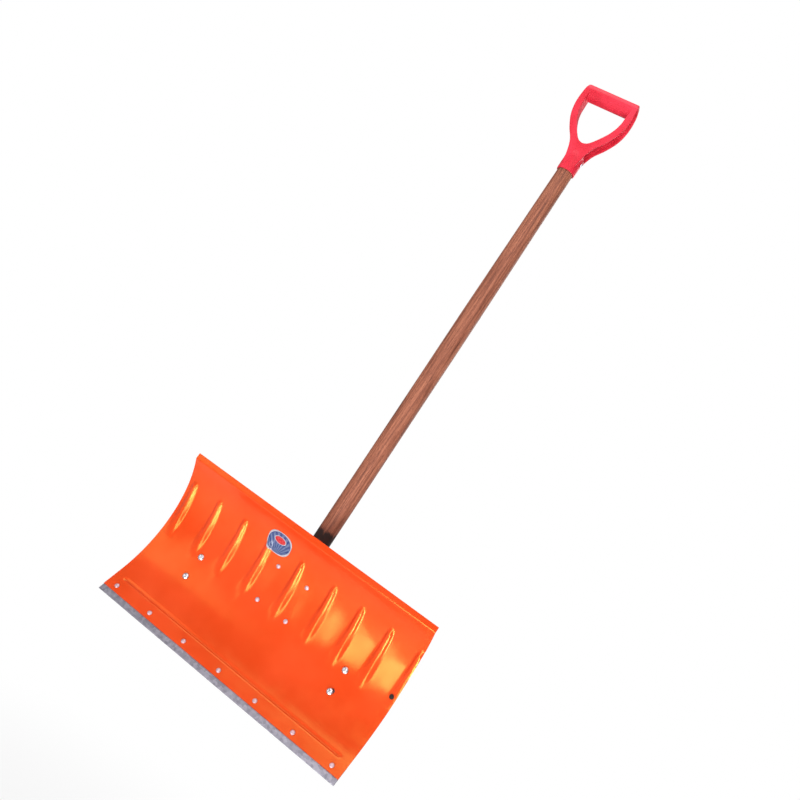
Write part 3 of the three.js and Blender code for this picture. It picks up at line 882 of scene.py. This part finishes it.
@dataclass
class BladeSheet:
    """The pressed sheet with its ribs, groove, folded lip and holes."""

    shop: Workshop
    columns: int = 260
    bands: tuple[tuple[float, int], ...] = (
        *((26.0, 6), (42.0, 12), (140.0, 16), (262.0, 40), (292.0, 22)),
        *((PROFILE.arc_end, 12), (PROFILE.lip_start, 6), (PROFILE.sheet_end, 4)),
    )
    side_hole: Triple = (*SIDE_HOLE, 4.2)
    lower_hole: Triple = (192.0, 116.6, 5.0)
    drill_reach: Pair = (-8.0, 12.0)

    def build(self) -> None:
        """Press the sheet, with finer rows where it bends, and drill its two holes."""
        rows = [0.0]
        for end, count in self.bands:
            rows += spread(rows[-1], end, count)[1:]
        half = PRESSING.width / 2
        mesh = bent_sheet(spread(-half, half, self.columns), rows, PRESSING.height, PROFILE.sheet)
        piece = self.shop.piece("pressed_blade", mesh, Slot.PAINT, "blade_sheet", smooth_angle=50.0)
        self.shop.cut(piece, [self.drill(*self.side_hole), self.drill(*self.lower_hole)])

    def drill(self, x: float, s: float, radius: float) -> bmesh.types.BMesh:
        """Give a round cutter square to the sheet at x, s."""
        return Workshop.moved(Workshop.rod(radius, *self.drill_reach, 28), PROFILE.standing(x, s))


@dataclass
class PaintedShadePlug:
    """A dark push-in plug in the hole near the right edge; its black paints the shade seen through the hole.
    """

    shop: Workshop
    head: float = 4.9

    def build(self) -> None:
        """Turn the plug and seat its head on the flank of the last rib."""
        seat = PRESSING.rib(*(at + self.head for at in SIDE_HOLE))
        barb = [(0, -6.9), (2.6, -6.9), (4.3, -3.5), (3.7, -2.5), (3.7, 0.35)]
        outline = [*barb, (self.head, 0.35), *dome(self.head, 0.5, 0.9, 6, 0.5), (0, 1.4)]
        mesh = self.shop.spun([(r, h + seat) for r, h in outline])
        self.shop.moved(mesh, PROFILE.standing(*SIDE_HOLE))
        self.shop.piece("painted_shade_plug", mesh, Slot.SHADE_PLUG, "hole_plug")


@dataclass
class WearStrip:
    """The bare steel strip behind the lower edge."""

    shop: Workshop
    thickness: float = 2.15
    below: float = 13.0
    above: float = 26.0
    gap: float = 0.3

    def build(self) -> None:
        """Bend the strip onto the sheet and round its edges."""
        front = -PROFILE.sheet - self.gap
        columns = spread(-PRESSING.width / 2, PRESSING.width / 2, 120)
        rows = spread(-self.below, self.above, 8)
        mesh = bent_sheet(columns, rows, lambda x, s: front - self.scuff(x, s), self.thickness)
        piece = self.shop.piece("steel_wear_strip", mesh, Slot.GALVANISED, "wear_strip")
        self.shop.edged(piece, 0.45)

    @staticmethod
    def scuff(x: float, s: float) -> float:
        """Give the small wear of the strip's free edge."""
        wave = 0.5 + 0.25 * math.sin(x / 23.0) + 0.25 * math.sin(x / 7.3 + 1.0)
        return 0.3 * wave * smooth_step((-6 - s) / 8)


@dataclass(frozen=True)
class DomedFastener:
    """A rivet or bolt with a domed head on the front face and a round tail behind it."""

    head: float
    rise: float
    shank: float
    tail: float
    tail_rise: float
    seat: float = 0.12
    rim: float = 0.25

    def outline(self, back: float) -> Points:
        """Give the turned outline from its tail to the top of its dome.

        Args:
            back: The height at which the tail closes, under the front face.

        Returns:
            Pairs of radius and height.
        """
        tail = [(r, back - h) for r, h in reversed(dome(self.tail, 0, self.tail_rise, 4, 1))]
        neck = [(self.tail, back), (self.shank, back), (self.shank, self.seat), (self.head * 0.97, self.seat)]
        head = dome(self.head, self.seat + self.rim, self.rise - self.rim, 8, 0.85)
        return [(0, back - self.tail_rise), *tail, *neck, *head, (0, self.seat + self.rise)]


@dataclass
class SheetFasteners:
    """The edge rivets, the clamp's rivets and the braces' bolts with their washers and nuts."""

    shop: Workshop
    rivet: DomedFastener = DomedFastener(4.9, 2.5, 2.4, 4.2, 1.8)
    bolt: DomedFastener = DomedFastener(6.8, 3.9, 3.0, 3.0, 1.0)
    edge_rivets: int = 7
    edge_pitch: float = 92.0
    edge_line: float = 12.0
    edge_back: float = -4.6
    clamp_offset: float = 37.0
    clamp_lines: Pair = (242.0, 163.5)
    clamp_back: float = -4.3
    bolt_offset: float = 189.0
    bolt_lines: Pair = (160.5, 113.0)
    bolt_back: float = -14.0

    def build(self) -> None:
        """Make every fastener that stands square on the sheet."""
        middle = (self.edge_rivets - 1) / 2
        edge = [((i - middle) * self.edge_pitch, self.edge_line) for i in range(self.edge_rivets)]
        clamp = [(side.value * self.clamp_offset, s) for s in self.clamp_lines for side in Side]
        braces = [(side.value * self.bolt_offset, s) for side in Side for s in self.bolt_lines]
        dull, bright = self.shop.finishes.rivet, self.shop.finishes.by_slot[Slot.ZINC]
        for i, place in enumerate(edge, 1):
            self.stand(f"edge_rivet_{i}", self.rivet.outline(self.edge_back), place, dull)
        for i, place in enumerate(clamp, 1):
            self.stand(f"clamp_rivet_{i}", self.rivet.outline(self.clamp_back), place, dull)
        for i, place in enumerate(braces, 1):
            self.stand(f"brace_bolt_{i}", self.bolt.outline(self.bolt_back), place, bright)
            self.shop.plated(f"brace_washer_{i}", 0.35)
            self.shop.plated(f"brace_nut_{i}", 0.35)

    def stand(self, node: str, outline: Points, place: Pair, finish: bpy.types.Material) -> None:
        """Stand a turned fastener on the sheet.

        Args:
            node: The CAD node that it stands for.
            outline: The fastener's outline, with its seat at height 0.
            place: Its x and s.
            finish: Its finish.
        """
        mesh = self.shop.moved(self.shop.spun(outline), PROFILE.standing(*place))
        self.shop.piece(f"domed_{node}", mesh, Slot.ZINC, node, finish)


@dataclass
class RearBracket:
    """The clamp plate, both braces, the cross bolt and the wood screws."""

    shop: Workshop
    screw_heights: Pair = (150.0, 208.0)
    channel_outer: float = 22.05

    def build(self) -> None:
        """Make the bracket's pieces."""
        for node, name in (
            ("handle_clamp", "clamp_plate"),
            ("left_brace", "left_rod_brace"),
            ("right_brace", "right_rod_brace"),
        ):
            piece = self.shop.piece(name, self.shop.copied(node), Slot.BLACK, node, smooth_angle=32.0)
            self.shop.edged(piece, 0.4, angle=50.0)
        for node in ("cross_bolt", "cross_washer_left", "cross_washer_right", "cross_nut"):
            self.shop.plated(node)
        turn = Matrix.Rotation(-math.pi / 2, 4, "X")
        for i, height in enumerate(self.screw_heights):
            seat = Matrix.Translation(PROFILE.place(0, height, PROFILE.handle_v - self.channel_outer))
            WoodScrew(self.shop).build(f"clamp_screw_{i + 1}", seat @ turn)


@dataclass
class WoodScrew:
    """A pan-head screw with a crossed recess."""

    shop: Workshop
    head: float = 4.2
    rise: float = 2.4
    shank: float = 2.0
    depth: float = 18.0
    slot_width: float = 0.8
    slot_depth: float = 2.4

    def build(self, node: str, place: Matrix) -> None:
        """Make the screw.

        Args:
            node: The CAD node that it stands for.
            place: Its frame: the head sits at z = 0 and the point goes down.
        """
        shank = [(0, -self.depth), (self.shank, 4 - self.depth), (self.shank, 0.1), (self.head, 0.1)]
        mesh = self.shop.spun([*shank, *dome(self.head, 0.3, self.rise - 0.3, 6, 0.6), (0, self.rise)])
        piece = self.shop.piece(f"pan_{node}", self.shop.moved(mesh, place), Slot.ZINC, node)
        self.shop.cut(piece, [self.slot(place, turn) for turn in (0, 90)])

    def slot(self, place: Matrix, turn: float) -> bmesh.types.BMesh:
        """Give one arm of the crossed recess, turned by that many degrees."""
        mesh = bmesh.new()
        bmesh.ops.create_cube(mesh, size=MM)
        sizes = Matrix.Diagonal((self.head * 1.15, self.slot_width, self.slot_depth, 1))
        lift = Matrix.Translation((0, 0, self.rise * MM))
        matrix = place @ lift @ Matrix.Rotation(math.radians(turn), 4, "Z") @ sizes
        return Workshop.moved(mesh, matrix)


# ---------- handle and grip ----------


@dataclass
class WoodenHandle:
    """The round handle, tapered into the grip's collar."""

    shop: Workshop
    radius: float = 19.75
    top_radius: float = 17.5
    foot: float = 78.0
    foot_round: float = 4.0
    taper: float = 860.0
    collar: float = 1216.0
    top: float = 1255.0

    def build(self) -> None:
        """Turn the handle with a rounded foot."""
        outline = [(0, self.foot)]
        inner = self.radius - self.foot_round
        for a in spread(0, math.pi / 2, 4):
            rounded = self.foot_round * (1 - math.cos(a))
            outline.append((inner + self.foot_round * math.sin(a), self.foot + rounded))
        outline += [(self.radius, u) for u in spread(self.foot + 40, self.taper, 24)]
        radii = spread(self.radius, self.top_radius, 12)
        outline += list(zip(radii, spread(self.taper, self.collar, 12)))[1:]
        outline += [(self.top_radius, self.top), (0, self.top)]
        mesh = self.shop.spun([(r, u - PROFILE.hook_u) for r, u in outline], steps=56)
        self.shop.piece("turned_handle", mesh, Slot.WOOD, "wooden_handle")


@dataclass
class DGrip:
    """The moulded grip: two channelled arms, a round bar and a collar."""

    shop: Workshop
    bar_radius: float = 16.8
    bar_height: float = 1395.6
    half_depth: float = 17.3
    flange: float = 3.8
    collar_radius: float = 20.4
    collar_low: float = 1216.0
    collar_high: float = 1250.0
    bar_half_length: float = 53.0
    through: float = 40.0
    bore: float = 17.7
    bore_top: float = 1255.3
    joining_voxel: float = 0.9
    voxel: float = 0.95
    smoothing: int = 12
    turn_steps: int = 56
    outer: tuple[Pair, ...] = (
        *((15, 1230), (18, 1252), (27, 1279), (43, 1303)),
        *((56, 1329), (62, 1357), (61.4, 1388), (57, 1413.9)),
    )
    window: tuple[Pair, ...] = ((0, 1283), (12, 1288), (27, 1307), (40, 1329), (47.5, 1355), (48.5, 1395.6))
    web: tuple[Pair, ...] = ((13, 1260), (16, 1275), (31, 1304), (44, 1326), (52, 1354), (53, 1402))
    mouth: tuple[Pair, ...] = ((80, 1404), (80, 1290), (30, 1252))
    shoulder: tuple[Pair, ...] = ((19.4, 1256), (17, 1265), (12.5, 1272), (8, 1278), (0, 1280))

    def build(self) -> None:
        """Join the arms, bar and collar and soften every edge as moulding does."""
        arms = self.slab(self.mirrored(self.outer), self.half_depth)
        piece = self.shop.piece("moulded_grip", arms, Slot.PLASTIC, "d_grip")
        cutters = [self.slab(self.mirrored(self.window), self.through)]
        cutters += [self.slab(self.channel(side), self.half_depth - self.flange) for side in Side]
        self.shop.cut(piece, cutters)
        self.shop.cut(piece, [self.rounded_space()], "INTERSECT")
        self.fuse(piece, [self.bar(), self.collar()])
        self.shop.cut(piece, [self.bore_cutter()])
        self.soften(piece)
        self.shop.finishes.dress(piece, Slot.PLASTIC)

    @staticmethod
    def curve(points: Iterable[Pair], steps: int = 8) -> Points:
        """Run a smooth curve through points, with so many steps between neighbours."""
        listed = list(points)
        ends = [listed[0], *listed, listed[-1]]
        made = [listed[0]]
        for near in zip(ends, ends[1:], ends[2:], ends[3:]):
            for i in range(1, steps + 1):
                made.append(tuple(DGrip.blend(*values, i / steps) for values in zip(*near)))
        return made

    @staticmethod
    def blend(a: float, b: float, c: float, d: float, t: float) -> float:
        """Give a Catmull-Rom value between b and c."""
        curved = (2 * a - 5 * b + 4 * c - d) * t * t + (3 * b - a - 3 * c + d) * t**3
        return 0.5 * (2 * b + (c - a) * t + curved)

    @staticmethod
    def mirrored(points: Iterable[Pair]) -> Points:
        """Close a right half outline with its mirror image."""
        right = DGrip.curve(points)
        return [*right, *((-x, u) for x, u in reversed(right) if x > 0)]

    def channel(self, side: Side) -> Points:
        """Give the outline of one arm's channel, open outwards."""
        return [(side.value * x, u) for x, u in [*self.curve(self.web), *self.mouth]]

    @staticmethod
    def slab(outline: Points, half_depth: float) -> bmesh.types.BMesh:
        """Give a flat shape of (x, u) points, twice half_depth thick and centred on the handle."""
        face = [(x, -half_depth, u - PROFILE.hook_u) for x, u in outline]
        return Workshop.extruded(face, (0, 2 * half_depth, 0))

    def rounded_space(self) -> bmesh.types.BMesh:
        """Give a long prism along X that rounds the arms' tops over the bar."""
        level = self.bar_height - PROFILE.hook_u
        wide, low, eaves, half_length = 1.5 * self.half_depth, level - 190, level - 12, 90
        outline = [(wide, low), (wide, eaves)]
        for a in map(math.radians, range(14, 167, 8)):
            outline.append((self.half_depth * math.cos(a), level + self.half_depth * math.sin(a)))
        outline += [(-wide, eaves), (-wide, low)]
        return Workshop.extruded([(-half_length, y, z) for y, z in outline], (2 * half_length, 0, 0))

    def bar(self) -> bmesh.types.BMesh:
        """Give the bar, whose ends lie inside the arms."""
        rod = Workshop.rod(self.bar_radius, -self.bar_half_length, self.bar_half_length, 48)
        lift = Matrix.Translation((0, 0, (self.bar_height - PROFILE.hook_u) * MM))
        return Workshop.moved(rod, lift @ Matrix.Rotation(math.pi / 2, 4, "Y"))

    def collar(self) -> bmesh.types.BMesh:
        """Give the collar with its shoulder."""
        lower = [(0, 0), (self.collar_radius - 0.6, 0), (self.collar_radius, 0.8)]
        outline = [(r, self.collar_low + h) for r, h in lower]
        outline += [(self.collar_radius, self.collar_high), *self.shoulder]
        return Workshop.spun([(r, u - PROFILE.hook_u) for r, u in outline], self.turn_steps)

    def bore_cutter(self) -> bmesh.types.BMesh:
        """Give the space that the handle fills inside the collar."""
        low, high = self.collar_low - 10 - PROFILE.hook_u, self.bore_top - PROFILE.hook_u
        return Workshop.rod(self.bore, low, high, self.turn_steps)

    def fuse(self, piece: bpy.types.Object, shapes: list[bmesh.types.BMesh]) -> None:
        """Add closed shapes to a piece's mesh; the voxels join them."""
        whole = bmesh.new()
        whole.from_mesh(piece.data)
        for shape in shapes:
            part = written("part", shape)
            whole.from_mesh(part)
            bpy.data.meshes.remove(part)
        whole.to_mesh(piece.data)
        whole.free()
        self.shop.remeshed(piece, self.joining_voxel)
        self.shop.settle(piece)

    def soften(self, piece: bpy.types.Object) -> None:
        """Rebuild the surface evenly and round its edges."""
        self.shop.remeshed(piece, self.voxel)
        rounding = piece.modifiers.new("rounding", "SMOOTH")
        rounding.factor = 0.5
        rounding.iterations = self.smoothing
        self.shop.settle(piece)


@dataclass
class Grip:
    """The D-grip and the screw that holds it on the handle."""

    shop: Workshop
    screw_height: float = 1245.0
    screw_reach: float = 20.5

    def build(self) -> None:
        """Make the grip and its screw."""
        DGrip(self.shop).build()
        seat = Matrix.Translation(Vector((self.screw_reach, 0, self.screw_height - PROFILE.hook_u)) * MM)
        WoodScrew(self.shop).build("grip_screw", seat @ Matrix.Rotation(math.pi / 2, 4, "Y"))


@dataclass
class PlainLabel:
    """A thin rounded film that follows the sheet and one rib."""

    shop: Workshop
    left: float = -86.0
    right: float = -28.0
    low: float = 261.0
    high: float = 311.0
    steps: int = 36
    roundness: float = 2.6
    lift: float = 0.25
    film: float = 0.2

    def build(self) -> None:
        """Lay the film on the sheet and give it a UV map."""
        mesh = bmesh.new()
        bmesh.ops.create_grid(mesh, x_segments=self.steps, y_segments=self.steps, size=1.0)
        layer = mesh.loops.layers.uv.new("UVMap")
        shaped = {vert.index: self.rounded(vert.co.x, vert.co.y) for vert in mesh.verts}
        for face in mesh.faces:
            for loop in face.loops:
                a, b = shaped[loop.vert.index]
                loop[layer].uv = (0.5 + a * 0.5, 0.5 + b * 0.5)
        for vert in mesh.verts:
            a, b = shaped[vert.index]
            x = (self.left + self.right) / 2 + a * (self.right - self.left) / 2
            s = (self.low + self.high) / 2 + b * (self.high - self.low) / 2
            vert.co = PROFILE.on_sheet(x, s, PRESSING.height(x, s) + self.lift)
        mesh.normal_update()
        piece = self.shop.piece("plain_label", mesh, Slot.LABEL, "label")
        wall = piece.modifiers.new("film", "SOLIDIFY")
        wall.thickness = self.film * MM
        wall.offset = 0.0

    def rounded(self, a: float, b: float) -> Pair:
        """Pull the corners of a square in, so that its outline is a rounded oval."""
        reach = max(abs(a), abs(b))
        if reach == 0:
            return 0.0, 0.0
        p = self.roundness
        length = (abs(a / reach) ** p + abs(b / reach) ** p) ** (1 / p)
        return a / length, b / length


# ---------- camera, floor and light ----------


@dataclass(frozen=True)
class Viewpoint:
    """The camera's place and turn."""

    place: Triple = (0.4967, -1.5849, -0.8481)
    view: Triple = (-0.313, 0.9479, 0.060)
    up: Triple = (-0.5088, -0.2207, 0.8321)
    lens: float = 36.68

    def build(self) -> None:
        """Make the camera and use it."""
        data = bpy.data.cameras.new("camera")
        data.lens = self.lens
        data.sensor_width = 36.0
        data.clip_end = 60.0
        camera = linked("camera", data)
        back = -Vector(self.view).normalized()
        right = Vector(self.up).cross(back).normalized()
        turn = Matrix((right, back.cross(right), back)).transposed().to_4x4()
        camera.matrix_world = Matrix.Translation(self.place) @ turn
        bpy.context.scene.camera = camera


@dataclass(frozen=True)
class Lamp:
    """A soft rectangular lamp that faces the blade."""

    name: str
    azimuth: float
    elevation: float
    distance: float
    width: float
    height: float
    power: float
    target: Triple = (0.0, -0.05, -1.2)

    def build(self) -> None:
        """Hang the lamp.

        The azimuth runs from straight in front of the blade towards +X, and the elevation upwards.
        """
        data = bpy.data.lights.new(self.name, "AREA")
        data.shape = "RECTANGLE"
        data.size = self.width
        data.size_y = self.height
        data.energy = self.power
        lamp = linked(self.name, data)
        turn, lift = math.radians(self.azimuth), math.radians(self.elevation)
        out = Vector((math.sin(turn) * math.cos(lift), -math.cos(turn) * math.cos(lift), math.sin(lift)))
        lamp.location = Vector(self.target) + out * self.distance
        lamp.rotation_euler = out.to_track_quat("Z", "Y").to_euler()


@dataclass
class Studio:
    """The pale floor, the white surroundings and the lamps."""

    floor_level: float = -2.75
    floor_radius: float = 9.0
    surround: float = 0.42
    lamps: tuple[Lamp, ...] = (
        Lamp("key", 20.0, 32.0, 3.2, 1.8, 1.8, 34.0),
        Lamp("overhead", -20.0, 76.0, 2.6, 2.2, 1.4, 40.0),
        Lamp("fill", -44.0, 12.0, 3.2, 2.2, 2.2, 24.0),
        Lamp("low_front", 3.0, -24.0, 2.5, 0.8, 1.5, 40.0),
        Lamp("low_right", 44.0, -36.0, 2.5, 1.4, 0.6, 72.0),
        Lamp("back", 160.0, 24.0, 3.0, 2.0, 2.0, 62.0),
    )

    def build(self) -> None:
        """Set the stage."""
        bpy.context.scene.view_settings.view_transform = "Standard"
        self.build_world()
        self.build_floor()
        for lamp in self.lamps:
            lamp.build()

    def build_world(self) -> None:
        """Show white to the camera, and light the object less brightly."""
        world = bpy.data.worlds.new("surroundings")
        bpy.context.scene.world = world
        world.use_nodes = True
        nodes, links = world.node_tree.nodes, world.node_tree.links
        background = nodes["Background"]
        background.inputs["Color"].default_value = (1, 1, 1, 1)
        strength = nodes.new("ShaderNodeMapRange")
        strength.inputs["To Min"].default_value = self.surround
        links.new(nodes.new("ShaderNodeLightPath").outputs["Is Camera Ray"], strength.inputs["Value"])
        links.new(strength.outputs["Result"], background.inputs["Strength"])

    def build_floor(self) -> None:
        """Lay a round pale floor that fades into the surroundings."""
        mesh = bmesh.new()
        bmesh.ops.create_circle(mesh, cap_ends=True, segments=64, radius=self.floor_radius)
        bmesh.ops.translate(mesh, verts=mesh.verts[:], vec=(0, 0, self.floor_level))
        floor = linked("floor", written("floor", mesh))
        nodes = Nodes("pale_floor")
        nodes.shade(Base_Color=(0.86, 0.86, 0.86, 1), Roughness=0.9)
        x, y, _ = nodes.axes(nodes.coords.outputs["Object"])
        fade = nodes.math("MAXIMUM", nodes.between(nodes.length(x, y), 0.6, 2.6), 0.55)
        clear = nodes.new("Emission", Strength=1.0)
        share = nodes.math("MULTIPLY", nodes.new("LightPath").outputs["Is Camera Ray"], fade)
        blend = nodes.new("MixShader", Fac=share)
        nodes.feed(blend.inputs[1], nodes.shader.outputs["BSDF"])
        nodes.feed(blend.inputs[2], clear.outputs["Emission"])
        nodes.set(nodes.tree.nodes["Material Output"], Surface=blend.outputs["Shader"])
        floor.data.materials.append(nodes.material)


def main() -> None:
    """Build the shovel's looks piece by piece."""
    logging.basicConfig(level=logging.INFO, format="%(message)s")
    Viewpoint().build()
    Studio().build()
    shop = Workshop(Finishes())
    blade = (BladeSheet, PaintedShadePlug, WearStrip, SheetFasteners)
    for part in (*blade, RearBracket, WoodenHandle, Grip, PlainLabel):
        LOG.info("building %s", part.__name__)
        part(shop).build()
    bpy.context.view_layer.update()


if __name__ == "__main__":
    main()
